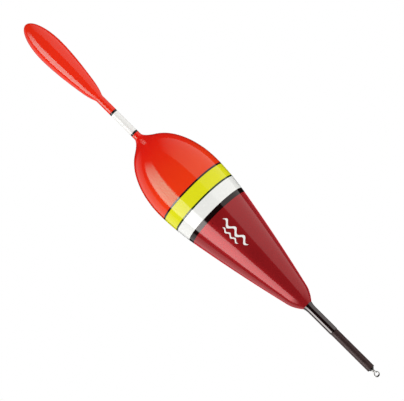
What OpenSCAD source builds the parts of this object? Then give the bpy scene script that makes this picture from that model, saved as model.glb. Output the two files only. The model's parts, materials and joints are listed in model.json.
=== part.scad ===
// Bobber float with a plug-in bulb antenna, in millimetres.
// A turned balsa body wears bonded colour coats. A rod stem below it ends in a
// wire line eye and carries a soft line sleeve. A slim antenna with a hollow
// bulb plugs into a socket in the body's neck.
// The float is upright: +Z runs along its axis towards the antenna, and the
// origin is the centre of the line eye. The eye's hole runs along Y.

/* [Line eye] */
// Outer diameter of the eye ring, which the line sleeve has to pass
eye_d = 2.26; // [1.9:0.02:2.26]
// Diameter of the stainless wire, of which the shank is a twisted pair
wire_d = 0.55; // [0.4:0.05:0.55]
// Length of twisted shank glued into the stem rod
shank_glued = 12; // [8:0.5:20]

/* [Stem] */
// Diameter of the stem rod
rod_d = 2.24; // [2.2:0.01:2.26]
// Height of the rod's lower end above the centre of the eye
rod_z = 2.8; // [2.4:0.1:3.5]
// Length of rod glued into the body
rod_glued = 26; // [15:1:40]
// Outer diameter of the glossy collar between the sleeve and the body
collar_d = 3.28; // [3:0.02:3.5]
// Height of the collar's lower end
collar_z = 21.5; // [20:0.1:24]
// Height of the rounded-off edge at the collar's lower end
collar_edge = 0.5; // [0.3:0.1:0.8]
// Outer diameter of the soft line sleeve
sleeve_d = 3.06; // [2.8:0.02:3.2]
// Radial play of the line sleeve on the rod
sleeve_play = 0.04; // [0.02:0.01:0.08]

/* [Body] */
// Greatest diameter of the body over its coats
body_d = 28.7; // [27:0.1:31]
// Height of the body's lower end
body_z = 35; // [34.5:0.1:36]
// Height of the greatest diameter
widest_z = 95.7; // [95:0.1:98]
// Height of the egg-shaped crown above the greatest diameter
crown_h = 23.25; // [23:0.05:24]
// Thickness of the colour coats
coat_t = 0.25; // [0.15:0.05:0.3]

/* [Colour bands] */
// Height of the upper edge of the burgundy coat
burgundy_top = 79.65; // [78:0.05:81]
// Width of the black band
black_w = 1.9; // [1:0.1:2]
// Width of the white band
white_w = 5.2; // [4:0.1:6]
// Width of the dark line between white and yellow
lower_line_w = 0.65; // [0.4:0.05:1]
// Width of the yellow band
yellow_w = 5.3; // [4:0.1:6]
// Width of the dark line between yellow and orange
upper_line_w = 0.7; // [0.3:0.05:0.8]

/* [Antenna] */
// Diameter of the body's neck, in its coat
neck_d = 3; // [2.8:0.05:3.2]
// Outer diameter of the socket tube in the neck
socket_d = 2.6; // [2.5:0.05:2.65]
// Depth of the socket, measured from its mouth
socket_depth = 13.9; // [10:0.1:16]
// Diameter of the antenna's rod, which plugs into the socket
plug_d = 2; // [1.8:0.05:2.05]
// Radial play of the plug in its socket
plug_play = 0.03; // [0.02:0.01:0.06]
// Outer diameter of the white tube
tube_d = 2.92; // [2.7:0.02:3]
// Length of the white tube
tube_len = 9.8; // [8:0.2:14]
// Greatest diameter of the bulb
bulb_d = 9.72; // [8:0.1:11]
// Length of the bulb without its neck
bulb_len = 37.6; // [35:0.2:40]
// Wall of the hollow bulb
bulb_wall = 0.5; // [0.4:0.05:0.8]

/* [Hidden] */
$fn = 96;

// Tallest step between two points of a turned outline
step_z = 1.5;
// Gap between faces that part when a piece is pulled off
parting_gap = 0.1;

rod_r = rod_d / 2;
rod_top = body_z + rod_glued;
bead_z = 2.15;
collar_r = collar_d / 2;
flare_z = collar_z + 11;
body_r = body_d / 2;
neck_r = neck_d / 2;

// Edges of the colour bands, bottom to top
black_top = burgundy_top + black_w;
white_top = black_top + white_w;
lower_line_top = white_top + lower_line_w;
yellow_top = lower_line_top + yellow_w;
upper_line_top = yellow_top + upper_line_w;

// Heights where one stretch of the body's outline passes into the next
cone_z = body_z + 5.7;
fillet_z = widest_z + crown_h - 1.75;
core_top = fillet_z + 2.6;
neck_z = fillet_z + 4.1;
neck_top = neck_z + 1.3;
breaks = [body_z, cone_z, burgundy_top, black_top, white_top, lower_line_top, yellow_top,
          upper_line_top, widest_z, fillet_z, core_top, neck_z, neck_top];

// Stretches of the outline as [start, control, end] of [radius, height]
flare_end = [2, body_z];
cone_start = [0.345 * body_r, cone_z];
shoulder_start = [0.899 * body_r, burgundy_top];
widest = [body_r, widest_z];
lower_end = [flare_end, [0.305 * body_r, body_z + 2.9], cone_start];
cone = [cone_start, [0.669 * body_r, body_z + 25.5], shoulder_start];
shoulder = [shoulder_start, [body_r, widest_z - 7.3], widest];
crown_slope = pow(body_r / crown_h, 2) * (fillet_z - widest_z) / crown_r(fillet_z);
fillet = [[crown_r(fillet_z), fillet_z],
          [neck_r, fillet_z + (crown_r(fillet_z) - neck_r) / crown_slope],
          [neck_r, neck_z]];
flare = [[collar_r, flare_z], [collar_r, body_z - 1.1], flare_end];

// Antenna, bottom to top
socket_r = socket_d / 2;
socket_z = neck_top - socket_depth;
socket_floor = 1;
plug_r = plug_d / 2;
plug_z = socket_z + socket_floor + 0.5;
neck_ring_z = neck_top + parting_gap;
tube_z = neck_ring_z + 0.65;
bulb_ring_z = tube_z + tube_len;
bulb_neck_z = bulb_ring_z + 0.8;
bulb_z = bulb_neck_z + 7;
bulb_r = bulb_d / 2;
bulb_neck_r = 1.5;
bulb_widest_z = bulb_z + 0.65 * bulb_len;
bulb_top = bulb_z + bulb_len;
rod_end_z = bulb_z + 8.7;
bulb_bottom_z = bulb_z + 2.7;
bulb_waist = [0.62 * bulb_r, bulb_z + 5.4];
bulb_lower = [[bulb_neck_r, bulb_z], [0.525 * bulb_r, bulb_z + 2.5], bulb_waist];
bulb_middle = [bulb_waist, [bulb_r, bulb_z + 16.9], [bulb_r, bulb_widest_z]];

// Radius of a quadratic curve [start, control, end] at height z
function curve_r(c, z) =
    let (bow = c[0][1] - 2 * c[1][1] + c[2][1],
         rise = 2 * (c[1][1] - c[0][1]),
         up = z - c[0][1],
         t = 2 * up / (rise + sqrt(rise * rise + 4 * bow * up)))
    pow(1 - t, 2) * c[0][0] + 2 * t * (1 - t) * c[1][0] + t * t * c[2][0];

function crown_r(z) = body_r * sqrt(1 - pow((z - widest_z) / crown_h, 2));

// Outer radius of the coated body at height z
function body_outline_r(z) =
    z < cone_z ? curve_r(lower_end, z) :
    z < burgundy_top ? curve_r(cone, z) :
    z < widest_z ? curve_r(shoulder, z) :
    z < fillet_z ? crown_r(z) :
    z < neck_z ? curve_r(fillet, z) : neck_r;

// Heights from a to b that take in every break, with no step over step_z
function heights(a, b) =
    let (marks = concat([a], [for (z = breaks) if (z > a && z < b) z], [b]))
    concat([a], [for (i = [1:len(marks) - 1])
        let (gap = marks[i] - marks[i - 1], n = ceil(gap / step_z))
        for (k = [1:n]) marks[i - 1] + gap * k / n]);

function body_points(a, b, inset) = [for (z = heights(a, b)) [body_outline_r(z) - inset, z]];

function reversed(list) = [for (i = [len(list) - 1:-1:0]) list[i]];

// Outer radius of the bulb at height z, below its greatest diameter
function bulb_side_r(z) = z < bulb_waist[1] ? curve_r(bulb_lower, z) : curve_r(bulb_middle, z);

// Points of the bulb from height z up to its closed tip, inset from its surface
function bulb_points(z, inset) =
    let (side = ceil((bulb_widest_z - z) / step_z), dome_steps = 16)
    concat([for (i = [0:side - 1])
               let (h = z + (bulb_widest_z - z) * i / side)
               [bulb_side_r(h) - inset, h]],
           [for (i = [0:dome_steps])
               let (turn = 90 * i / dome_steps, dome = bulb_top - inset - bulb_widest_z)
               [(bulb_r - inset) * cos(turn), bulb_widest_z + dome * sin(turn)]]);

module tube(outer_r, inner_r, from_z, to_z) {
    translate([0, 0, from_z])
        difference() {
            cylinder(r = outer_r, h = to_z - from_z);
            translate([0, 0, -1]) cylinder(r = inner_r, h = to_z - from_z + 2);
        }
}

// A coat over the balsa core from height a to height b
module coat(a, b) {
    rotate_extrude()
        polygon(concat(body_points(a, b, 0), reversed(body_points(a, b, coat_t))));
}

// Wire ring with a shank, the envelope of a twisted pair, that goes up into the rod
module line_eye() {
    ring_r = (eye_d - wire_d) / 2;
    color("silver") {
        rotate([90, 0, 0]) rotate_extrude() translate([ring_r, 0]) circle(d = wire_d);
        translate([0, 0, ring_r]) cylinder(r = wire_d, h = rod_z + shank_glued - ring_r);
    }
}

// Cone of dark epoxy that seals the shank into the rod's end
module epoxy_bead() {
    color("black")
        rotate_extrude()
            polygon([[wire_d, bead_z], [wire_d + 0.1, bead_z], [rod_r - 0.07, rod_z], [wire_d, rod_z]]);
}

module stem_rod() {
    color([0.12, 0.11, 0.11])
        translate([0, 0, rod_z])
            difference() {
                cylinder(r = rod_r, h = rod_top - rod_z);
                translate([0, 0, -1]) cylinder(r = wire_d, h = shank_glued + 1);
            }
}

module line_sleeve() {
    color([0.24, 0.2, 0.2])
        tube(sleeve_d / 2, rod_r + sleeve_play, rod_z, collar_z - parting_gap);
}

// Glossy collar on the rod: eased at its lower end, straight, then flared out to the body
module stem_collar() {
    flare_steps = 6;
    edge_depth = 0.22;
    color([0.08, 0.05, 0.05])
        rotate_extrude()
            polygon(concat(
                [[rod_r, collar_z], [collar_r - edge_depth, collar_z], [collar_r, collar_z + collar_edge]],
                [for (i = [0:flare_steps])
                    let (z = flare_z + (body_z - flare_z) * i / flare_steps)
                    [curve_r(flare, z), z]],
                [[rod_r, body_z]]));
}

// Turned balsa, bored from below for the stem rod and from above for the antenna socket
module balsa_core() {
    color([0.87, 0.76, 0.58])
        difference() {
            rotate_extrude()
                polygon(concat([[0, body_z]], body_points(body_z, core_top, coat_t), [[0, core_top]]));
            translate([0, 0, body_z - 1]) cylinder(r = rod_r, h = rod_glued + 1);
            translate([0, 0, socket_z]) cylinder(r = socket_r, h = socket_depth);
        }
}

module burgundy_coat() { color([0.45, 0.08, 0.1]) coat(body_z, burgundy_top); }

module black_band() { color([0.1, 0.06, 0.06]) coat(burgundy_top, black_top); }

module white_band() { color([0.92, 0.92, 0.9]) coat(black_top, white_top); }

module lower_dark_line() { color([0.2, 0.27, 0.05]) coat(white_top, lower_line_top); }

module yellow_band() { color([0.86, 0.88, 0.05]) coat(lower_line_top, yellow_top); }

module upper_dark_line() { color([0.14, 0.05, 0.05]) coat(yellow_top, upper_line_top); }

// Covers the crown, the fillet and the socket tube where it stands out as the neck
module orange_coat() {
    color([0.92, 0.18, 0.09]) {
        coat(upper_line_top, core_top);
        rotate_extrude()
            polygon(concat(body_points(core_top, neck_top, 0),
                           [[socket_r, neck_top], [socket_r, core_top]]));
    }
}

// Blind tube glued into the core, open at the neck
module antenna_socket() {
    color([0.9, 0.88, 0.82])
        translate([0, 0, socket_z])
            difference() {
                cylinder(r = socket_r, h = socket_depth);
                translate([0, 0, socket_floor]) cylinder(r = plug_r + plug_play, h = socket_depth);
            }
}

module neck_ring() { color([0.07, 0.07, 0.07]) tube(neck_r, plug_r, neck_ring_z, tube_z); }

// Runs from the plug, through the white tube, into the bulb
module antenna_rod() {
    color([0.85, 0.85, 0.8])
        translate([0, 0, plug_z]) cylinder(r = plug_r, h = rod_end_z - plug_z);
}

module antenna_tube() { color([0.95, 0.95, 0.93]) tube(tube_d / 2, plug_r, tube_z, bulb_ring_z); }

module bulb_ring() { color([0.07, 0.07, 0.07]) tube(bulb_neck_r, plug_r, bulb_ring_z, bulb_neck_z); }

// Hollow bulb whose neck is bonded to the rod
module antenna_bulb() {
    color([0.93, 0.17, 0.1])
        difference() {
            rotate_extrude()
                polygon(concat([[0, bulb_neck_z], [bulb_neck_r, bulb_neck_z]], bulb_points(bulb_z, 0)));
            rotate_extrude()
                polygon(concat([[0, bulb_bottom_z]], bulb_points(bulb_bottom_z, bulb_wall)));
            translate([0, 0, bulb_neck_z - 1]) cylinder(r = plug_r, h = bulb_bottom_z - bulb_neck_z + 2);
        }
}

line_eye();
epoxy_bead();
stem_rod();
line_sleeve();
stem_collar();
balsa_core();
burgundy_coat();
black_band();
white_band();
lower_dark_line();
yellow_band();
upper_dark_line();
orange_coat();
antenna_socket();
neck_ring();
antenna_rod();
antenna_tube();
bulb_ring();
antenna_bulb();
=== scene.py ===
"""Builds a pear-shaped bobber float round its packed CAD frame, with its finishes and a plain studio."""

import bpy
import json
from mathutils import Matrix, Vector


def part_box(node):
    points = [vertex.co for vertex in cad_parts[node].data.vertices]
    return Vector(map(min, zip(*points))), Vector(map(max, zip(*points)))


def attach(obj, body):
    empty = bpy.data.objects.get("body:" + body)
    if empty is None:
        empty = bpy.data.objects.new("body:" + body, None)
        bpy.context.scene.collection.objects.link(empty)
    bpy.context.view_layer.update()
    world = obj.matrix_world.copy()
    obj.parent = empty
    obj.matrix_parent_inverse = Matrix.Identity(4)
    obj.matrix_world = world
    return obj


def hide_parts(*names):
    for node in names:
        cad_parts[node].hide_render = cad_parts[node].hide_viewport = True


bl_info = {
    "name": "Bobber Float",
    "version": (1, 0, 0),
    "blender": (4, 5, 0),
    "location": "View3D > Sidebar > Float",
    "description": "Models the coats, stem, sleeve, eye and antenna of a bobber float on its CAD frame",
    "category": "Add Mesh",
}

import json
import math

import bpy
from bpy.props import FloatProperty, FloatVectorProperty, IntProperty, PointerProperty
from bpy.types import Operator, Panel, PropertyGroup
from mathutils import Matrix, Vector

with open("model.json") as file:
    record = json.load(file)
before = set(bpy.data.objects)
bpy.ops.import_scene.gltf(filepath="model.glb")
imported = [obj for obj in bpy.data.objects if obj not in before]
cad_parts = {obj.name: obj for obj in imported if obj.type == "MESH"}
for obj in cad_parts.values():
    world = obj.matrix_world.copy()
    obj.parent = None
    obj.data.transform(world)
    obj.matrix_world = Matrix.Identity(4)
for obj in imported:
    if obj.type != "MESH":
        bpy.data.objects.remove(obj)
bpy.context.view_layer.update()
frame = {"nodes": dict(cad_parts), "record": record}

MM = 0.001
# Vertices closer together than this are one
WELD = 0.001 * MM
# Edges that turn by more than this stay sharp
SMOOTH_ANGLE = math.radians(38)
# Pitch of the rings on pieces other than the body
FINE_RING, BULB_RING = 0.2 * MM, 0.4 * MM


# ---------------------------------------------------------------- settings

def length(label, about, default_mm):
    """A length property, given in millimetres."""
    return FloatProperty(name=label, description=about, default=default_mm * MM, min=0.0,
                         unit="LENGTH", subtype="DISTANCE", precision=5)


def colour(label, about, default):
    """A linear colour property."""
    return FloatVectorProperty(name=label, description=about, default=default, size=3,
                               min=0.0, max=1.0, subtype="COLOR")


def number(label, about, default):
    """A plain number property that can't be negative."""
    return FloatProperty(name=label, description=about, default=default, min=0.0)


def turn_angle(label, about, default_degrees):
    """An angle property, given in degrees."""
    return FloatProperty(name=label, description=about, default=math.radians(default_degrees),
                         subtype="ANGLE", unit="ROTATION")


def mount_sizes(name):
    """The dimensions of one of the frame's mounts."""
    return next(mount["dims"] for mount in frame["record"]["mounts"] if mount["name"] == name)


class BodySettings(PropertyGroup):
    """Shape and colours of the coated body."""
    crown_height: length("Crown height", "Height of the egg-shaped crown above the greatest girth", 23.25)
    coat_thickness: length("Coat thickness", "Thickness of the lacquer coats", 0.25)
    ring_pitch: length("Ring pitch", "Height between two rings of the coats' mesh", 0.4)
    facets: IntProperty(name="Facets", description="Faces round the body", default=240, min=48)
    line_wander: length("Line wander", "How far a masked colour line wanders up and down", 0.05)
    burgundy: colour("Burgundy", "Candy burgundy of the lower body", (0.290, 0.0105, 0.0130))
    black: colour("Black", "Black of the band and the collar", (0.0075, 0.0022, 0.0022))
    white: colour("White", "White of the band", (0.82, 0.82, 0.79))
    yellow: colour("Yellow", "Fluorescent yellow of the band", (0.72, 0.71, 0.012))
    orange_low: colour("Orange by the bands", "Fluorescent orange at the foot of the crown",
                       (0.85, 0.042, 0.007))
    orange_high: colour("Orange by the neck", "Deeper orange-red near the neck", (0.84, 0.013, 0.0065))
    lower_line: colour("Lower trim line", "Green-black line under the yellow band", (0.018, 0.040, 0.006))
    upper_line: colour("Upper trim line", "Red-black line over the yellow band", (0.022, 0.006, 0.010))


class StemSettings(PropertyGroup):
    """Shape and colours of the stem, its sleeve and its wire eye."""
    collar_radius: length("Collar radius", "Radius of the straight stretch of the glossy collar",
                          mount_sizes("stem_collar_pin")["r_mm"])
    sleeve_play: length("Sleeve play", "Gap between the stem rod and the sleeve's bore", 0.04)
    wire_thickness: length("Wire thickness", "Diameter of the eye's wire", 0.55)
    twist_pitch: length("Twist pitch", "Height of one whole turn of the wire's twisted pair", 3.4)
    rubber: colour("Rubber", "Brown-black of the soft line sleeve", (0.0236, 0.0074, 0.0070))
    rod: colour("Rod", "Black of the bare stem rod", (0.012, 0.011, 0.011))
    steel: colour("Steel", "Stainless wire of the eye", (0.50, 0.49, 0.47))


class AntennaSettings(PropertyGroup):
    """Shape and colours of the plug-in antenna."""
    bulb_wall: length("Bulb wall", "Wall of the hollow bulb", 0.5)
    bulb: colour("Bulb", "Fluorescent orange-red of the bulb", (0.83, 0.026, 0.0075))
    tube: colour("Tube", "White of the spacer tube", (0.83, 0.83, 0.80))
    ring: colour("Rings", "Black of the two stop rings", (0.006, 0.005, 0.005))
    spine: colour("Spine", "Pale glass fibre of the antenna's rod", (0.66, 0.65, 0.58))
    socket: colour("Socket", "Plastic of the socket that the antenna plugs into", (0.72, 0.70, 0.63))
    plug_play: length("Plug play", "Gap between the antenna's plug and the socket's bore", 0.03)
    socket_floor: length("Socket floor", "Thickness of the socket's closed end", 1.0)


class StudioSettings(PropertyGroup):
    """Camera and lamps."""
    camera_distance: length("Camera distance", "From the camera to the point it looks at", 3997.0)
    target_height: length("Target height", "Height on the float's axis that the camera looks at", 88.52)
    elevation: turn_angle("Elevation", "Height of the camera over the horizon", -8.2)
    roll: turn_angle("Roll", "Turn of the camera about its line of sight", -45.17)
    lens: FloatProperty(name="Lens", description="Focal length in millimetres", default=998.0, min=1.0)
    lamp_distance: length("Lamp distance", "From the float to the middle of each softbox", 500.0)
    key_light: number("Key light", "Radiance of the tall narrow softbox", 5.9)
    broad_light: number("Broad light", "Radiance of the wide softbox", 1.0)
    rim_light: number("Rim light", "Radiance of the softbox behind the key", 0.62)
    fill_light: number("Fill light", "Radiance of the soft fill on the key's side", 1.1)
    room_light: number("Room light", "Level of the even light that fills the room", 0.80)


# ---------------------------------------------------------------- outlines

def mixed(a, b, share):
    """The number between a and b at that share of the way."""
    return a + (b - a) * share


def stations(low, high, pitch):
    """Heights from low to high, evenly spaced by about the pitch."""
    steps = max(1, math.ceil((high - low) / pitch - 1e-6))
    return [mixed(low, high, i / steps) for i in range(steps + 1)]


def curve_radius(curve, height):
    """Radius of a quadratic curve of (radius, height) start, control and end, at a height."""
    (r0, z0), (r1, z1), (r2, z2) = curve
    bow, rise, up = z0 - 2 * z1 + z2, 2 * (z1 - z0), height - z0
    t = 2 * up / (rise + math.sqrt(rise * rise + 4 * bow * up))
    return (1 - t) ** 2 * r0 + 2 * t * (1 - t) * r1 + t * t * r2


def eased(corners, closed=True):
    """The outline through (radius, height, easing) corners, with each corner rounded off by its easing.

    A point beside each rounding keeps the shading of the long faces even."""
    points, count = [], len(corners)
    for i, (radius, height, easing) in enumerate(corners):
        here = Vector((radius, height))
        if not easing or (not closed and i in (0, count - 1)):
            points.append((radius, height))
            continue
        before = (Vector(corners[i - 1][:2]) - here).normalized()
        after = (Vector(corners[(i + 1) % count][:2]) - here).normalized()
        points.append(tuple(here + before * easing * 1.7))
        for step in range(5):
            t = step / 4
            ends = (here + before * easing) * (1 - t) ** 2 + (here + after * easing) * t * t
            points.append(tuple(ends + here * 2 * t * (1 - t)))
        points.append(tuple(here + after * easing * 1.7))
    return points + points[:1] if closed else points


class BodyOutline:
    """Outer radius of the coated body at any height, worked out from the frame."""

    def __init__(self, body):
        self.foot, shoulder_height = (corner.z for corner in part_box("burgundy_coat"))
        girth, self.neck_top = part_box("orange_coat")[1].xz
        self.girth, self.crown_height = girth, body.crown_height
        self.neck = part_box("neck_ring")[1].x
        neck_length, fillet_length, hidden_crown = 1.3 * MM, 4.1 * MM, 1.75 * MM
        self.fillet_top = self.neck_top - neck_length
        self.fillet_foot = self.fillet_top - fillet_length
        self.widest = self.fillet_foot + hidden_crown - body.crown_height
        cone_foot = self.foot + 5.7 * MM
        self.breaks = [cone_foot, shoulder_height, self.widest, self.fillet_foot, self.fillet_top]
        start, shoulder = (0.345 * girth, cone_foot), (0.899 * girth, shoulder_height)
        shank = self.crown(self.fillet_foot)
        slope = (girth / self.crown_height) ** 2 * (self.fillet_foot - self.widest) / shank
        self.curves = [
            [(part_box("stem_collar")[1].x, self.foot), (0.305 * girth, self.foot + 2.9 * MM), start],
            [start, (0.669 * girth, self.foot + 25.5 * MM), shoulder],
            [shoulder, (girth, self.widest - 7.3 * MM), (girth, self.widest)],
            None,
            [(shank, self.fillet_foot), (self.neck, self.fillet_foot + (shank - self.neck) / slope),
             (self.neck, self.fillet_top)],
        ]

    def crown(self, height):
        """Radius of the egg-shaped crown."""
        return self.girth * math.sqrt(1 - ((height - self.widest) / self.crown_height) ** 2)

    def radius(self, height):
        """Outer radius at a height."""
        for top, curve in zip(self.breaks, self.curves):
            if height < top:
                return curve_radius(curve, height) if curve else self.crown(height)
        return self.neck

    def points(self, low, high, pitch, inset=0.0):
        """Points of the outline from low to high."""
        marks = [low] + [z for z in self.breaks if low < z < high] + [high]
        heights = [low]
        for a, b in zip(marks, marks[1:]):
            heights += stations(a, b, pitch)[1:]
        return [(self.radius(z) - inset, z) for z in heights]


# ---------------------------------------------------------------- modelling

def traced(points):
    """Draws a chain of edges through the points and stays in edit mode, with its last point selected."""
    bpy.ops.object.select_all(action="DESELECT")
    bpy.ops.mesh.primitive_plane_add(size=MM, enter_editmode=True, location=points[0])
    bpy.context.tool_settings.mesh_select_mode = (True, False, False)
    bpy.ops.mesh.select_all(action="SELECT")
    bpy.ops.mesh.merge(type="CENTER")
    for here, there in zip(points, points[1:]):
        step = tuple(b - a for a, b in zip(here, there))
        bpy.ops.mesh.extrude_vertices_move(TRANSFORM_OT_translate={"value": step})


def settled():
    """Leaves edit mode, puts the active object's place into its mesh and shades it."""
    bpy.ops.object.mode_set(mode="OBJECT")
    bpy.ops.object.transform_apply()
    bpy.ops.object.shade_smooth_by_angle(angle=SMOOTH_ANGLE)
    return bpy.context.object


def turned(outline, facets):
    """Spins an outline of (radius, height) points round the float's axis."""
    traced([(radius, 0.0, height) for radius, height in outline])
    bpy.ops.mesh.select_all(action="SELECT")
    bpy.ops.mesh.spin(steps=facets, angle=math.tau, center=(0, 0, 0), axis=(0, 0, 1))
    bpy.ops.mesh.select_all(action="SELECT")
    bpy.ops.mesh.remove_doubles(threshold=WELD)
    bpy.ops.mesh.normals_make_consistent(inside=False)
    return settled()


def bent_wire(points, thickness):
    """A round wire along the points, with flat cut ends."""
    traced(points)
    bpy.ops.object.mode_set(mode="OBJECT")
    bpy.ops.object.convert(target="CURVE")
    curve = bpy.context.object.data
    curve.dimensions = "3D"
    curve.bevel_depth = thickness / 2
    curve.bevel_resolution = 5
    curve.use_fill_caps = True
    bpy.ops.object.convert(target="MESH")
    bpy.ops.object.mode_set(mode="EDIT")
    bpy.ops.mesh.select_all(action="SELECT")
    bpy.ops.mesh.remove_doubles(threshold=WELD)
    bpy.ops.mesh.normals_make_consistent(inside=False)
    return settled()


def applied(piece, kind, **settings):
    """Adds a modifier with these settings and applies it."""
    modifier = piece.modifiers.new(kind.title(), kind)
    for name, value in settings.items():
        setattr(modifier, name, value)
    bpy.context.view_layer.objects.active = piece
    bpy.ops.object.modifier_apply(modifier=modifier.name)


def unevenness(piece, size, height, direction="Z", group=""):
    """Moves a piece's points up and down by cloudy noise of that size and height."""
    clouds = bpy.data.textures.new("clouds", "CLOUDS")
    clouds.noise_scale = size
    clouds.noise_depth = 1
    applied(piece, "DISPLACE", texture=clouds, texture_coords="LOCAL", direction=direction,
            mid_level=0.5, strength=height, vertex_group=group)
    bpy.data.textures.remove(clouds)


def outside_group(piece, radius):
    """Names the points further than the radius from the axis, for modifiers."""
    group = piece.vertex_groups.new(name="outside")
    far = [v.index for v in piece.data.vertices if math.hypot(v.co.x, v.co.y) > radius]
    group.add(far, 1.0, "REPLACE")
    return group.name


def fitted(piece, name, body, slot, finish, *nodes):
    """Names a finished piece, paints it, puts it on its body and lets it stand for its CAD nodes."""
    piece.name = piece.data.name = name
    piece.vertex_groups.clear()
    piece.data.materials.clear()
    piece.data.materials.append(finish)
    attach(piece, body)
    if nodes:
        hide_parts(*nodes)
    return piece


# ---------------------------------------------------------------- shader writing

class Value:
    """A shader's socket, which Python sums can use as a number."""

    def __init__(self, sheet, socket):
        self.sheet, self.socket = sheet, socket

    def sum(self, operation, *terms):
        """A Math node over the terms."""
        return self.sheet.node("ShaderNodeMath", {"operation": operation}, terms)

    def __add__(self, other):
        return self.sum("ADD", self, other)

    def __sub__(self, other):
        return self.sum("SUBTRACT", self, other)

    def __rsub__(self, other):
        return self.sum("SUBTRACT", other, self)

    def __mul__(self, other):
        return self.sum("MULTIPLY", self, other)

    def __lt__(self, other):
        return self.sum("LESS_THAN", self, other)

    def __gt__(self, other):
        return self.sum("GREATER_THAN", self, other)

    __radd__ = __add__
    __rmul__ = __mul__

    def between(self, low, high):
        """0 at low and 1 at high, smooth between them."""
        settings = {"interpolation_type": "SMOOTHSTEP"}
        return self.sheet.node("ShaderNodeMapRange", settings, [self, low, high])


class Sheet:
    """A node tree being written: a lamp's, the room's or a finish's."""

    def __init__(self, tree):
        self.tree = tree

    def feed(self, node, values):
        """Sets or links a node's sockets from a dict, or from a list in the sockets' order."""
        pairs = values.items() if isinstance(values, dict) else enumerate(values)
        for key, value in pairs:
            if isinstance(value, Value):
                self.tree.links.new(value.socket, node.inputs[key])
            elif value is not None:
                wide = node.inputs[key].type == "RGBA" and len(value) == 3
                node.inputs[key].default_value = (*value, 1.0) if wide else value

    def node(self, kind, settings, values, output=0):
        """Makes a node, applies its settings and then its sockets, and returns one output."""
        node = self.tree.nodes.new(kind)
        for name, value in settings.items():
            setattr(node, name, value)
        self.feed(node, values)
        return Value(self, node.outputs[output])


class Finish(Sheet):
    """A material under construction. Constant sockets are given by name when it is made."""

    def __init__(self, name, sockets):
        self.material = bpy.data.materials.new(name)
        self.material.use_nodes = True
        super().__init__(self.material.node_tree)
        self.tree.nodes.clear()
        self.shader = self.tree.nodes.new("ShaderNodeBsdfPrincipled")
        end = self.tree.nodes.new("ShaderNodeOutputMaterial")
        self.tree.links.new(self.shader.outputs[0], end.inputs["Surface"])
        self.place = self.node("ShaderNodeTexCoord", {}, [], "Object")
        self.feed(self.shader, sockets)

    def set(self, **sockets):
        """Links or sets the shader's sockets, written with _ for each space."""
        self.feed(self.shader, {name.replace("_", " "): value for name, value in sockets.items()})
        return self

    def stretched(self, sizes, offset=(0, 0, 0)):
        """The place in units of these sizes, one for each axis."""
        scale = tuple(1 / s for s in sizes)
        return self.node("ShaderNodeMapping", {}, {"Vector": self.place, "Location": offset, "Scale": scale})

    def noise(self, size, detail=2.0, offset=0.0):
        """Cloudy noise from 0 to 1. The size is a length, or one for each axis."""
        sizes = (size,) * 3 if isinstance(size, float) else size
        place = self.stretched(sizes, (offset,) * 3)
        return self.node("ShaderNodeTexNoise", {}, {"Vector": place, "Scale": 1.0, "Detail": detail})

    def specks(self, spacing, radius, share):
        """1 inside small round specks, which a share of the cells of that spacing have."""
        place = self.stretched((spacing,) * 3)
        cells = {"Vector": place, "Scale": 1.0}
        distance = self.node("ShaderNodeTexVoronoi", {"feature": "F1"}, cells, "Distance")
        lot = self.node("ShaderNodeTexVoronoi", {"feature": "F1"}, cells, "Color")
        chosen = self.node("ShaderNodeSeparateColor", {}, [lot])
        return (distance < radius / spacing) * (chosen < share)

    def mix(self, share, a, b):
        """The colour between a and b, from the Mix node's factor and its two colour sockets."""
        factor, first, second, result = 0, 6, 7, 2
        return self.node("ShaderNodeMix", {"data_type": "RGBA"}, {factor: share, first: a, second: b}, result)

    def shaded(self, colour, amount, mask):
        """The colour, darkened by up to the amount where the mask is 0, and lightened where it is 1."""
        dark = tuple(c * (1 - amount) for c in colour)
        light = tuple(min(1.0, c * (1 + amount)) for c in colour)
        return self.mix(mask, dark, light)

    def bump(self, height, depth):
        """A normal bent by a height from 0 to 1, over that depth."""
        return self.node("ShaderNodeBump", {}, {"Strength": 1.0, "Distance": depth, "Height": height})

    def height(self):
        """Height over the line eye, in metres."""
        return self.node("ShaderNodeSeparateXYZ", {}, [self.place], "Z")


# ---------------------------------------------------------------- finishes

# Tints of the light that each gloss throws back. Fluorescent pigment right at the surface warms it
FLUORESCENT_GLOSS = (0.0, 0.88, 0.64)
BULB_GLOSS = (0.1, 0.95, 0.88)
YELLOW_GLOSS = (0.45, 0.4, 0.45)
BLACK_GLOSS = (1.0, 0.93, 0.91)


def lacquer(name, colour, mottle=0.03, gloss=0.045, ior=1.55, tint=(1, 1, 1)):
    """Sprayed gloss lacquer, with faint clouding, orange peel and a few dust nibs."""
    finish = Finish(name, {"IOR": ior, "Specular Tint": tint})
    clouding = finish.noise(6.0 * MM, 3.0)
    peel = finish.noise(1.3 * MM, 1.0)
    nibs = finish.specks(3.2 * MM, 0.09 * MM, 0.10)
    paint = finish.shaded(colour, mottle, clouding)
    dull = finish.noise(2.5 * MM, 2.0, 7.0)
    return finish.set(
        Base_Color=finish.mix(nibs * 0.35, paint, tuple(c * 0.5 for c in colour)),
        Roughness=gloss + dull * 0.03 + nibs * 0.2,
        Normal=finish.bump(peel + nibs * 0.6, 0.0025 * MM))


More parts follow.
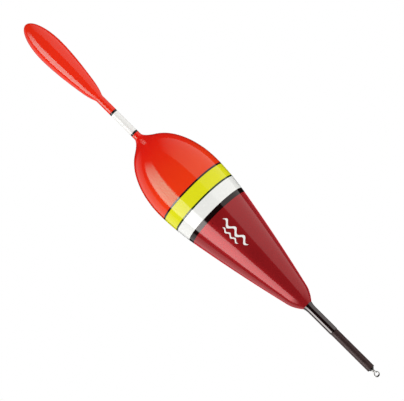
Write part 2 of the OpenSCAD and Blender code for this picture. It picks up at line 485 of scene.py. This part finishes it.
def candy_lacquer(name, colour):
    """Clear burgundy over fine silver, under a hard clear coat, with pinholes and faint wood grain."""
    finish = Finish(name, {"Specular IOR Level": 0.0, "Coat Weight": 1.0, "Coat Roughness": 0.03,
                           "Coat IOR": 1.43, "Sheen Weight": 1.0, "Sheen Roughness": 0.35,
                           "Sheen Tint": (1.0, 0.06, 0.08)})
    grain = finish.noise((0.5 * MM, 0.5 * MM, 22.0 * MM), 3.0)
    clouding = finish.noise(7.0 * MM, 2.0, 3.0)
    flake = finish.noise(0.10 * MM, 0.0, 11.0)
    pinholes = finish.specks(3.4 * MM, 0.19 * MM, 0.10)
    depth = grain * 0.35 + clouding * 0.45 + flake * 0.2
    paint = finish.shaded(colour, 0.13, depth)
    return finish.set(
        Base_Color=finish.mix(pinholes, paint, tuple(c * 0.12 for c in colour)),
        Metallic=0.27 - pinholes * 0.2,
        Roughness=0.24 + flake * 0.06 + clouding * 0.03,
        Normal=finish.bump(flake, 0.002 * MM))


def crown_lacquer(name, low_colour, high_colour, low, high):
    """Fluorescent orange that deepens towards the neck."""
    finish = Finish(name, {"IOR": 1.55, "Specular Tint": FLUORESCENT_GLOSS})
    clouding = finish.noise(5.0 * MM, 3.0)
    fade = (finish.height() + clouding * (6.0 * MM)).between(low, high)
    paint = finish.mix(fade, low_colour, high_colour)
    patches = finish.noise(1.8 * MM, 3.0, 5.0) * 0.10
    mottled = finish.mix(patches, paint, tuple(c * 0.7 for c in high_colour))
    peel = finish.noise(1.4 * MM, 1.0, 2.0)
    nibs = finish.specks(3.4 * MM, 0.09 * MM, 0.09)
    return finish.set(
        Base_Color=finish.mix(nibs * 0.3, mottled, tuple(c * 0.45 for c in high_colour)),
        Roughness=0.045 + finish.noise(2.5 * MM, 2.0, 7.0) * 0.03 + nibs * 0.2,
        Normal=finish.bump(peel + nibs * 0.6, 0.0025 * MM))


def epoxy(name, colour):
    """Set epoxy: glossy, with small bubbles."""
    finish = Finish(name, {"IOR": 1.55})
    bubbles = finish.specks(0.35 * MM, 0.06 * MM, 0.3)
    return finish.set(
        Base_Color=finish.shaded(colour, 0.4, finish.noise(0.4 * MM, 2.0)),
        Roughness=0.12 + finish.noise(0.3 * MM) * 0.1,
        Normal=finish.bump(1 - bubbles, 0.01 * MM))


def rod_finish(name, colour):
    """Drawn rod with fine lengthwise fibres."""
    finish = Finish(name, {"IOR": 1.5})
    fibres = finish.noise((0.05 * MM, 0.05 * MM, 9.0 * MM), 3.0)
    return finish.set(
        Base_Color=finish.shaded(colour, 0.4, fibres),
        Roughness=0.32 + fibres * 0.2,
        Normal=finish.bump(fibres, 0.006 * MM))


def rubber(name, colour):
    """Dull extruded rubber: pale bloom in blotches, draw lines along it and small pits."""
    finish = Finish(name, {"IOR": 1.38, "Specular Tint": BLACK_GLOSS})
    bloom = finish.noise((1.1 * MM, 1.1 * MM, 2.4 * MM), 3.0).between(0.35, 0.72)
    draw = finish.noise((0.22 * MM, 0.22 * MM, 8.0 * MM), 2.0, 4.0)
    pits = finish.noise(0.16 * MM, 2.0, 9.0)
    pale = tuple(c * 1.7 + 0.004 for c in colour)
    return finish.set(
        Base_Color=finish.mix(bloom * 0.55 + draw * 0.3, colour, pale),
        Roughness=0.40 + bloom * 0.15,
        Normal=finish.bump(draw * 0.5 + pits * 0.5, 0.03 * MM))


def steel_wire(name, colour):
    """Bright drawn wire with fine scratches."""
    finish = Finish(name, {"Metallic": 1.0})
    scratches = finish.noise((0.03 * MM, 0.03 * MM, 0.5 * MM), 3.0)
    return finish.set(
        Base_Color=finish.shaded(colour, 0.12, finish.noise(0.5 * MM)),
        Roughness=0.20 + scratches * 0.22,
        Normal=finish.bump(scratches, 0.002 * MM))


def moulded(name, colour, gloss, mottle=0.04, swirl=6.0 * MM):
    """Moulded plastic with a faint flow pattern and a slightly uneven skin."""
    finish = Finish(name, {"IOR": 1.5})
    flow = finish.noise((swirl * 0.4, swirl * 0.4, swirl), 2.0)
    skin = finish.noise(0.9 * MM, 1.0, 6.0)
    return finish.set(
        Base_Color=finish.shaded(colour, mottle, flow),
        Roughness=gloss + skin * 0.04,
        Normal=finish.bump(skin, 0.002 * MM))


def bulb_plastic(name, colour):
    """Fluorescent blow-moulded plastic: thin, so that light gathers in it, with faint lengthwise flow."""
    finish = Finish(name, {"IOR": 1.5, "Specular Tint": BULB_GLOSS})
    flow = finish.noise((1.6 * MM, 1.6 * MM, 14.0 * MM), 2.0)
    clouding = finish.noise(3.0 * MM, 3.0, 8.0)
    skin = finish.noise((2.2 * MM, 2.2 * MM, 6.0 * MM), 0.0, 6.0)
    return finish.set(
        Base_Color=finish.shaded(colour, 0.06, flow * 0.5 + clouding * 0.5),
        Roughness=0.03 + clouding * 0.03,
        Normal=finish.bump(skin, 0.0015 * MM))


def balsa(name):
    """Bare balsa: pale, with lengthwise grain, short pores and broad growth bands."""
    finish = Finish(name, {"IOR": 1.4})
    grain = finish.noise((0.35 * MM, 0.35 * MM, 12.0 * MM), 4.0)
    bands = finish.noise((5.0 * MM, 2.0 * MM, 60.0 * MM), 1.0, 3.0)
    pores = finish.noise((0.12 * MM, 0.12 * MM, 1.6 * MM), 1.0, 8.0).between(0.62, 0.70)
    wood = finish.mix(grain * 0.6 + bands * 0.4, (0.76, 0.58, 0.36), (0.90, 0.78, 0.58))
    return finish.set(
        Base_Color=finish.mix(pores * 0.5, wood, (0.45, 0.30, 0.16)),
        Roughness=0.72 + grain * 0.15,
        Normal=finish.bump(grain - pores * 0.6, 0.05 * MM))


# ---------------------------------------------------------------- pieces

class FloatOperator(Operator):
    """Shared start of the float's operators."""
    bl_options = {"REGISTER", "UNDO"}

    @staticmethod
    def settings(context):
        scene = context.scene
        return scene.float_body, scene.float_stem, scene.float_antenna, scene.float_studio


class BOBBER_OT_coats(FloatOperator):
    """Turn the seven lacquer coats that cover the balsa"""
    bl_idname = "bobber.coats"
    bl_label = "Coats and bands"

    def execute(self, context):
        body = self.settings(context)[0]
        outline = BodyOutline(body)
        crown_fade = (outline.widest + 2 * MM, outline.fillet_top)
        burgundy = candy_lacquer("candy_burgundy", body.burgundy)
        black = lacquer("gloss_black", body.black, mottle=0.2, tint=BLACK_GLOSS)
        white = lacquer("gloss_white", body.white, mottle=0.006)
        green_black = lacquer("green_black", body.lower_line, mottle=0.3)
        yellow = lacquer("fluorescent_yellow", body.yellow, tint=YELLOW_GLOSS)
        red_black = lacquer("red_black", body.upper_line, mottle=0.3)
        orange = crown_lacquer("fluorescent_orange", body.orange_low, body.orange_high, *crown_fade)
        coats = [
            ("burgundy_lacquer", "burgundy_coat", "burgundy_lacquer", burgundy),
            ("black_lacquer_band", "black_band", "black_lacquer", black),
            ("white_lacquer_band", "white_band", "white_lacquer", white),
            ("lower_trim_line", "lower_dark_line", "dark_line_lacquer", green_black),
            ("yellow_lacquer_band", "yellow_band", "yellow_lacquer", yellow),
            ("upper_trim_line", "upper_dark_line", "dark_line_lacquer", red_black),
            ("orange_lacquer", "orange_coat", "orange_lacquer", orange),
        ]
        for name, node, slot, finish in coats:
            low, high = (corner.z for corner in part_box(node))
            outside = outline.points(low, high, body.ring_pitch)
            coarse_pitch = 4 * body.ring_pitch
            inside = outline.points(low, high, coarse_pitch, body.coat_thickness)
            if node == "orange_coat":
                outside, inside = self.neck(outline, outside, inside)
            piece = turned(outside + inside[::-1] + outside[:1], body.facets)
            unevenness(piece, size=8 * MM, height=2 * body.line_wander)
            fitted(piece, name, "float_body", slot, finish.material, node)
        return {"FINISHED"}

    @staticmethod
    def neck(outline, outside, inside):
        """Rounds the crown coat's top edge and carries its inner side up the socket tube."""
        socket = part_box("antenna_socket")[1].x
        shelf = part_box("balsa_core")[1].z
        edge = 0.1 * MM
        top = [(outline.neck, outline.neck_top - edge),
               (outline.neck - 0.3 * edge, outline.neck_top - 0.3 * edge),
               (outline.neck - edge, outline.neck_top)]
        below = [point for point in inside if point[1] < shelf - edge]
        shelf_radius = outline.radius(shelf) - (outline.radius(inside[0][1]) - inside[0][0])
        inside = below + [(shelf_radius, shelf), (socket, shelf), (socket, outline.neck_top)]
        return outside[:-1] + top, inside


class BOBBER_OT_stem(FloatOperator):
    """Turn the stem rod, its glossy collar and the epoxy that seals the eye's shank"""
    bl_idname = "bobber.stem"
    bl_label = "Stem"

    def execute(self, context):
        body, stem = self.settings(context)[:2]
        low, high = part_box("stem_rod")
        bore, shank_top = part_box("line_eye")[1].y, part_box("line_eye")[1].z
        lip, edge = 0.05 * MM, 0.12 * MM
        rod = eased([(0, shank_top, 0), (bore, shank_top, 0), (bore, low.z, lip),
                     (high.x, low.z, edge), (high.x, high.z, edge), (0, high.z, 0)], closed=False)
        fitted(turned(rod, 96), "rod_stem", "float_body", "carbon_rod",
               rod_finish("drawn_carbon", stem.rod).material, "stem_rod")

        foot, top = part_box("stem_collar")
        flare_foot, flare_control = foot.z + 11 * MM, top.z - 1.1 * MM
        radius = stem.collar_radius
        flare = [(radius, flare_foot), (radius, flare_control), (top.x, top.z)]
        deep, tall, coarse_pitch = 0.22 * MM, 0.5 * MM, 1.2 * MM
        outline = [(high.x, foot.z), (radius - deep, foot.z)]
        outline += [(radius - deep * (1 - math.sin(a)), foot.z + tall * (1 - math.cos(a)))
                    for a in (math.radians(15 * i) for i in range(1, 7))]
        outline += [(radius, z) for z in stations(foot.z + 2 * tall, flare_foot, coarse_pitch)[:-1]]
        outline += [(curve_radius(flare, z), z) for z in stations(flare_foot, top.z, FINE_RING)]
        outline += [(high.x, top.z), (high.x, foot.z)]
        collar = turned(outline, 128)
        fitted(collar, "gloss_collar", "float_body", "black_lacquer",
               lacquer("stem_black", body.black, 0.2, gloss=0.03, ior=1.93, tint=BLACK_GLOSS).material,
               "stem_collar")

        foot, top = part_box("epoxy_bead")
        bead = [(bore, foot.z), (bore + 0.06 * MM, foot.z)]
        bead += [(mixed(bore + 0.1 * MM, top.x, math.sin(t * math.pi / 2) ** 0.9), mixed(foot.z, top.z, t))
                 for t in (i / 8 for i in range(1, 9))]
        bead += [(bore, top.z), (bore, foot.z)]
        fitted(turned(bead, 64), "epoxy_seal", "float_body", "black_epoxy",
               epoxy("black_epoxy", body.black).material, "epoxy_bead")
        return {"FINISHED"}


class BOBBER_OT_sleeve(FloatOperator):
    """Turn the soft line sleeve, with its cut ends and uneven skin"""
    bl_idname = "bobber.sleeve"
    bl_label = "Line sleeve"

    def execute(self, context):
        stem = self.settings(context)[1]
        low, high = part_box("line_sleeve")
        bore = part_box("stem_rod")[1].x + stem.sleeve_play
        roughness = 0.03 * MM
        skin, edge = high.x - roughness / 2, 0.05 * MM
        outline = eased([(bore, low.z, edge), (skin, low.z, edge),
                         (skin, high.z, edge), (bore, high.z, edge)])
        walls = [i for i, (a, b) in enumerate(zip(outline, outline[1:])) if abs(b[1] - a[1]) > 5 * MM]
        for i in reversed(walls):
            (r, a), (_, b) = outline[i], outline[i + 1]
            rings = stations(min(a, b), max(a, b), 0.3 * MM)[1:-1]
            outline[i + 1:i + 1] = [(r, z) for z in (rings if b > a else reversed(rings))]
        sleeve = turned(outline, 96)
        group = outside_group(sleeve, mixed(bore, skin, 0.4))
        unevenness(sleeve, 1.6 * MM, roughness, "NORMAL", group)
        unevenness(sleeve, 1.2 * MM, 0.07 * MM)
        fitted(sleeve, "rubber_sleeve", "sleeve", "soft_sleeve",
               rubber("brown_black_rubber", stem.rubber).material, "line_sleeve")
        return {"FINISHED"}


class BOBBER_OT_eye(FloatOperator):
    """Bend the wire eye: one wire, from a twisted pair round the loop and back"""
    bl_idname = "bobber.eye"
    bl_label = "Line eye"

    def execute(self, context):
        stem = self.settings(context)[1]
        low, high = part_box("line_eye")
        half = stem.wire_thickness / 2
        loop = high.x - half
        fork, top = 1.55 * MM, high.z
        # Where the bends to the fork leave the loop, over its middle
        leave = math.radians(52)

        def strand(side):
            """One strand of the twisted pair, from the fork up. Side is 1 or -1."""
            for height in stations(fork, top, stem.twist_pitch / 24):
                angle = math.tau * (height - fork) / stem.twist_pitch
                yield side * half * math.cos(angle), side * half * math.sin(angle), height

        def neck(side):
            """The bend from the loop up to the fork."""
            start = Vector((side * loop * math.cos(leave), 0, loop * math.sin(leave)))
            along = Vector((-side * math.sin(leave), 0, math.cos(leave)))
            handles = [start, start + along * 0.34 * MM,
                       Vector((side * half, 0, fork - 0.3 * MM)), Vector((side * half, 0, fork))]
            for t in (i / 8 for i in range(1, 8)):
                weights = (1 - t) ** 3, 3 * t * (1 - t) ** 2, 3 * t * t * (1 - t), t ** 3
                yield tuple(sum((p * w for p, w in zip(handles, weights)), Vector()))

        ring = [math.pi - leave + (math.pi + 2 * leave) * i / 48 for i in range(49)]
        points = list(strand(-1))[::-1] + list(neck(-1))[::-1]
        points += [(loop * math.cos(a), 0, loop * math.sin(a)) for a in ring]
        points += list(neck(1)) + list(strand(1))
        eye = bent_wire(points, stem.wire_thickness)
        fitted(eye, "wire_eye", "float_body", "stainless_wire",
               steel_wire("bright_wire", stem.steel).material, "line_eye")
        return {"FINISHED"}


class BOBBER_OT_antenna(FloatOperator):
    """Turn the plug-in antenna: stop rings, spacer tube, spine and hollow bulb"""
    bl_idname = "bobber.antenna"
    bl_label = "Antenna"

    def execute(self, context):
        antenna = self.settings(context)[2]
        spine_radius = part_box("antenna_rod")[1].x
        rings = moulded("black_ring_plastic", antenna.ring, 0.16)
        tube = moulded("white_tube_plastic", antenna.tube, 0.22, mottle=0.006)
        for node, name, slot, finish, edge in (
                ("neck_ring", "neck_stop_ring", "black_ring_plastic", rings, 0.12 * MM),
                ("antenna_tube", "white_spacer_tube", "white_tube_plastic", tube, 0.07 * MM),
                ("bulb_ring", "bulb_stop_ring", "black_ring_plastic", rings, 0.12 * MM)):
            low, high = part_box(node)
            outline = eased([(spine_radius, low.z, 0), (high.x, low.z, edge),
                             (high.x, high.z, edge), (spine_radius, high.z, 0)])
            fitted(turned(outline, 96), name, "antenna", slot, finish.material, node)

        low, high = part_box("antenna_rod")
        spine = eased([(0, low.z, 0), (high.x, low.z, 0.3 * MM), (high.x, high.z, 0.2 * MM), (0, high.z, 0)],
                      closed=False)
        fitted(turned(spine, 72), "antenna_spine", "antenna", "glass_fibre",
               rod_finish("pale_glass_fibre", antenna.spine).material, "antenna_rod")

        bulb = turned(self.bulb_outline(antenna, spine_radius), 160)
        fitted(bulb, "bulb_shell", "antenna", "bulb_plastic",
               bulb_plastic("fluorescent_bulb", antenna.bulb).material, "antenna_bulb")
        return {"FINISHED"}

    @staticmethod
    def bulb_outline(antenna, spine_radius):
        """From the bulb's tip down its outside, under its neck and up its hollow to the tip again."""
        low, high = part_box("antenna_bulb")
        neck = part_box("bulb_ring")[1].x
        foot, girth = low.z + 7 * MM, high.x
        long = high.z - foot
        widest = foot + 0.65 * long
        waist = (0.62 * girth, foot + 5.4 * MM)
        lower = [(neck, foot), (0.525 * girth, foot + 2.5 * MM), waist]
        middle = [waist, (girth, foot + 16.9 * MM), (girth, widest)]
        wall, floor = antenna.bulb_wall, foot + 2.7 * MM

        def side(height, inset):
            """A point of the outside below its greatest girth, or of the hollow."""
            return curve_radius(lower if height < waist[1] else middle, height) - inset, height

        def dome(steps, inset):
            """The half-ellipse over the greatest girth, from its tip down."""
            for i in range(steps):
                turn = math.pi / 2 * (1 - i / steps)
                across = 0.0 if i == 0 else (girth - inset) * math.cos(turn)
                yield across, widest + (high.z - inset - widest) * math.sin(turn)

        outside = list(dome(44, 0.0)) + [side(z, 0.0) for z in stations(foot, widest, BULB_RING)[::-1]]
        shank = [(neck, z) for z in stations(low.z + 0.2 * MM, foot, BULB_RING)[:-1][::-1]]
        edge = 0.08 * MM
        lip = [(neck, low.z + edge), (neck - 0.3 * edge, low.z + 0.3 * edge), (neck - edge, low.z)]
        hollow = [side(z, wall) for z in stations(floor, widest, 4 * BULB_RING)]
        hollow += list(dome(16, wall))[::-1]
        return outside + shank + lip + [(spine_radius, low.z), (spine_radius, floor)] + hollow


class BOBBER_OT_inner(FloatOperator):
    """Turn the antenna socket and finish the balsa core"""
    bl_idname = "bobber.inner"
    bl_label = "Socket and core"

    def execute(self, context):
        antenna = self.settings(context)[2]
        low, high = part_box("antenna_socket")
        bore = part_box("antenna_rod")[1].x + antenna.plug_play
        floor = low.z + antenna.socket_floor
        outline = eased([(0, low.z, 0), (high.x, low.z, 0.15 * MM), (high.x, high.z, 0.03 * MM),
                         (bore, high.z, 0.08 * MM), (bore, floor, 0.1 * MM), (0, floor, 0)], closed=False)
        plastic = moulded("socket_plastic", antenna.socket, 0.3)
        fitted(turned(outline, 96), "socket_tube", "float_body", "socket_plastic", plastic.material,
               "antenna_socket")
        core = frame["nodes"]["balsa_core"]
        core.data.materials.clear()
        core.data.materials.append(balsa("turned_balsa").material)
        return {"FINISHED"}


class BOBBER_OT_mark(FloatOperator):
    """Print two plain white ripples on the burgundy coat"""
    bl_idname = "bobber.mark"
    bl_label = "Ripple mark"

    def execute(self, context):
        body = self.settings(context)[0]
        coat = bpy.data.objects["burgundy_lacquer"]
        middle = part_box("burgundy_coat")[1].z - 9.2 * MM
        broad = dict(across=0.55 * MM, long=12.8 * MM, swing=0.8 * MM, width=1.0 * MM)
        slim = dict(across=-1.75 * MM, long=7.8 * MM, swing=0.38 * MM, width=0.62 * MM)
        strokes = [self.stroke(coat, middle, **broad), self.stroke(coat, middle + 0.4 * MM, **slim)]
        bpy.ops.object.select_all(action="DESELECT")
        for stroke in strokes:
            stroke.select_set(True)
        bpy.context.view_layer.objects.active = strokes[0]
        bpy.ops.object.join()
        finish = moulded("printed_white", body.white, 0.3, mottle=0.02, swirl=1.0 * MM)
        fitted(bpy.context.object, "ripple_mark", "float_body", "white_lacquer", finish.material)
        return {"FINISHED"}

    @staticmethod
    def stroke(coat, middle, across, long, swing, width):
        """A wavy brush stroke along the float, pressed on to the coat from in front of it."""
        waves = 3
        top, stand_off, steps = middle + long / 2, -30 * MM, 24 * waves
        traced([(across + width * (i / 3 - 0.5), stand_off, top) for i in range(4)])
        bpy.ops.mesh.select_all(action="SELECT")

        def sway(share):
            return across + swing * math.sin(math.tau * waves * share)

        def breadth(share):
            """Full width, but for a seventh of the stroke that tapers to a blunt point at each end."""
            return 0.12 + 0.88 * math.sin(math.pi * min(1.0, 7 * min(share, 1 - share)) / 2)

        bpy.ops.transform.resize(value=(breadth(0), 1, 1), center_override=(across, stand_off, top))
        for i in range(steps):
            here, there = i / steps, (i + 1) / steps
            step = (sway(there) - sway(here), 0, -long / steps)
            bpy.ops.mesh.extrude_region_move(TRANSFORM_OT_translate={"value": step})
            grow = breadth(there) / breadth(here)
            bpy.ops.transform.resize(value=(grow, 1, 1),
                                     center_override=(sway(there), stand_off, top - long * there))
        bpy.ops.mesh.select_all(action="SELECT")
        bpy.ops.mesh.normals_make_consistent(inside=False)
        stroke = settled()
        applied(stroke, "SHRINKWRAP", target=coat, wrap_method="PROJECT", use_project_y=True,
                use_positive_direction=True, use_negative_direction=False, offset=0.0)
        applied(stroke, "SOLIDIFY", thickness=0.05 * MM, offset=0.0)
        bpy.ops.object.mode_set(mode="EDIT")
        bpy.ops.mesh.select_all(action="SELECT")
        bpy.ops.mesh.normals_make_consistent(inside=False)
        return settled()


# ---------------------------------------------------------------- studio

def aimed(thing, place, target):
    """Puts a lamp or camera at a place and turns its view to the target, with its own Y upwards."""
    thing.location = place
    thing.rotation_mode = "QUATERNION"
    thing.rotation_quaternion = (target - place).to_track_quat("-Z", "Y")


def softbox(name, span, heights, radiance, feather, unseen, studio):
    """An area lamp that spans two heights and two azimuths in degrees, from the camera towards +X.

    Its light falls off over the feather, a share of its width, at both sides, and from its middle to
    both ends. One kind of ray can't see it."""
    bpy.ops.object.light_add(type="AREA")
    lamp = bpy.context.object
    lamp.name = name
    distance = studio.lamp_distance
    start, end = (math.radians(a) for a in span)
    heading, middle = (start + end) / 2, Vector((0, 0, sum(heights) / 2))
    aimed(lamp, middle + distance * Vector((math.sin(heading), -math.cos(heading), 0)), middle)
    lamp.data.shape = "RECTANGLE"
    lamp.data.size = 2 * distance * math.tan(abs(end - start) / 2)
    lamp.data.size_y = heights[1] - heights[0]
    lamp.data.energy = math.pi * lamp.data.size * lamp.data.size_y * radiance
    lamp.visible_camera = False
    setattr(lamp, "visible_" + unseen, False)
    lamp.data.use_nodes = True
    sheet = Sheet(lamp.data.node_tree)
    place = sheet.node("ShaderNodeNewGeometry", {}, [], "Parametric")

    def profile(axis, fall):
        """Full in the middle of one axis and nothing at its ends."""
        off_centre = sheet.node("ShaderNodeSeparateXYZ", {}, [place], axis) - 0.5
        off_centre = sheet.node("ShaderNodeMath", {"operation": "ABSOLUTE"}, [off_centre])
        return off_centre.between(0.5, 0.5 - fall)

    sheet.feed(sheet.tree.nodes["Emission"], {"Strength": profile("X", feather) * profile("Y", 0.5)})


class BOBBER_OT_studio(FloatOperator):
    """Set up the floor, the even room light, the softboxes and the camera"""
    bl_idname = "bobber.studio"
    bl_label = "Studio"

    def execute(self, context):
        studio = self.settings(context)[3]
        middle = Vector((0, 0, studio.target_height))
        self.floor()
        self.room(context.scene, studio)
        short, tall = (-0.55, 0.95), (-1.1, 1.3)
        fill, weak_fill = studio.fill_light, 0.25 * studio.fill_light
        # Its name, azimuths, heights, radiance, feather and the rays that it is hidden from
        for lamp in (("key_softbox", (-37, -87), short, studio.key_light, 0.13, "diffuse"),
                     ("rim_softbox", (-100, -148), tall, studio.rim_light, 0.12, "diffuse"),
                     ("broad_softbox", (32, 122), tall, studio.broad_light, 0.05, "diffuse"),
                     ("key_fill", (-75, -155), tall, fill, 0.3, "glossy"),
                     ("broad_fill", (40, 130), tall, weak_fill, 0.3, "glossy")):
            softbox(*lamp, studio)
        self.camera(context.scene, studio, middle)
        context.scene.view_settings.view_transform = "Standard"
        return {"FINISHED"}

    @staticmethod
    def floor():
        """A pale floor under the float, which is clear from below, and casts no shadow or reflection."""
        bpy.ops.object.select_all(action="DESELECT")
        bpy.ops.mesh.primitive_plane_add(size=4.0, location=(0, 0, -0.03))
        floor = bpy.context.object
        floor.name = "pale_floor"
        finish = Finish("pale_floor", {"Base Color": (0.95, 0.95, 0.95), "Roughness": 0.9,
                                       "Emission Color": (1, 1, 1), "Emission Strength": 0.35})
        below = finish.node("ShaderNodeNewGeometry", {}, [], "Backfacing")
        clear = finish.node("ShaderNodeBsdfTransparent", {}, [])
        seen_above = Value(finish, finish.shader.outputs[0])
        mixed_shader = finish.node("ShaderNodeMixShader", {}, [below, seen_above, clear])
        end = finish.tree.nodes["Material Output"]
        finish.tree.links.new(mixed_shader.socket, end.inputs["Surface"])
        floor.data.materials.append(finish.material)
        floor.visible_glossy = False
        floor.visible_shadow = False

    @staticmethod
    def room(scene, studio):
        """White to the camera, an even fill for matt surfaces and nearly dark in reflections."""
        world = bpy.data.worlds.new("studio_room")
        world.use_nodes = True
        scene.world = world
        sheet = Sheet(world.node_tree)
        seen, matt, glossy = (sheet.node("ShaderNodeLightPath", {}, [], f"Is {ray} Ray")
                              for ray in ("Camera", "Diffuse", "Glossy"))
        glimmer = 0.01
        sheet.feed(sheet.tree.nodes["Background"],
                   {"Color": (1, 1, 1), "Strength": seen + matt * studio.room_light + glossy * glimmer})

    @staticmethod
    def camera(scene, studio, middle):
        """A long lens from just under the float's middle, rolled so that the float lies aslant."""
        bpy.ops.object.camera_add()
        camera = bpy.context.object
        camera.name = "studio_camera"
        camera.data.lens = studio.lens
        back = Vector((0, -math.cos(studio.elevation), math.sin(studio.elevation)))
        aimed(camera, middle + back * studio.camera_distance, middle)
        roll = Matrix.Rotation(studio.roll, 3, "Z").to_quaternion()
        camera.rotation_quaternion = camera.rotation_quaternion @ roll
        camera.data.clip_start, camera.data.clip_end = 0.1, 40.0
        scene.camera = camera


# ---------------------------------------------------------------- add-on

PIECES = (BOBBER_OT_coats, BOBBER_OT_stem, BOBBER_OT_sleeve, BOBBER_OT_eye, BOBBER_OT_antenna,
          BOBBER_OT_inner, BOBBER_OT_mark, BOBBER_OT_studio)
GROUPS = {"float_body": BodySettings, "float_stem": StemSettings, "float_antenna": AntennaSettings,
          "float_studio": StudioSettings}


class BOBBER_PT_panel(Panel):
    """Lists the float's settings and operators in the sidebar"""
    bl_idname = "BOBBER_PT_panel"
    bl_label = "Bobber Float"
    bl_space_type = "VIEW_3D"
    bl_region_type = "UI"
    bl_category = "Float"

    def draw(self, context):
        for piece in PIECES:
            self.layout.operator(piece.bl_idname)
        for name, group in GROUPS.items():
            box = self.layout.box()
            box.label(text=group.__doc__)
            for setting in group.__annotations__:
                box.prop(getattr(context.scene, name), setting)


def register():
    for cls in (*GROUPS.values(), *PIECES, BOBBER_PT_panel):
        bpy.utils.register_class(cls)
    for name, group in GROUPS.items():
        setattr(bpy.types.Scene, name, PointerProperty(type=group))


def unregister():
    for name in GROUPS:
        delattr(bpy.types.Scene, name)
    for cls in reversed((*GROUPS.values(), *PIECES, BOBBER_PT_panel)):
        bpy.utils.unregister_class(cls)


def main():
    """Builds every piece and the studio."""
    register()
    for piece in PIECES:
        group, name = piece.bl_idname.split(".")
        getattr(getattr(bpy.ops, group), name)()


if __name__ == "__main__":
    main()
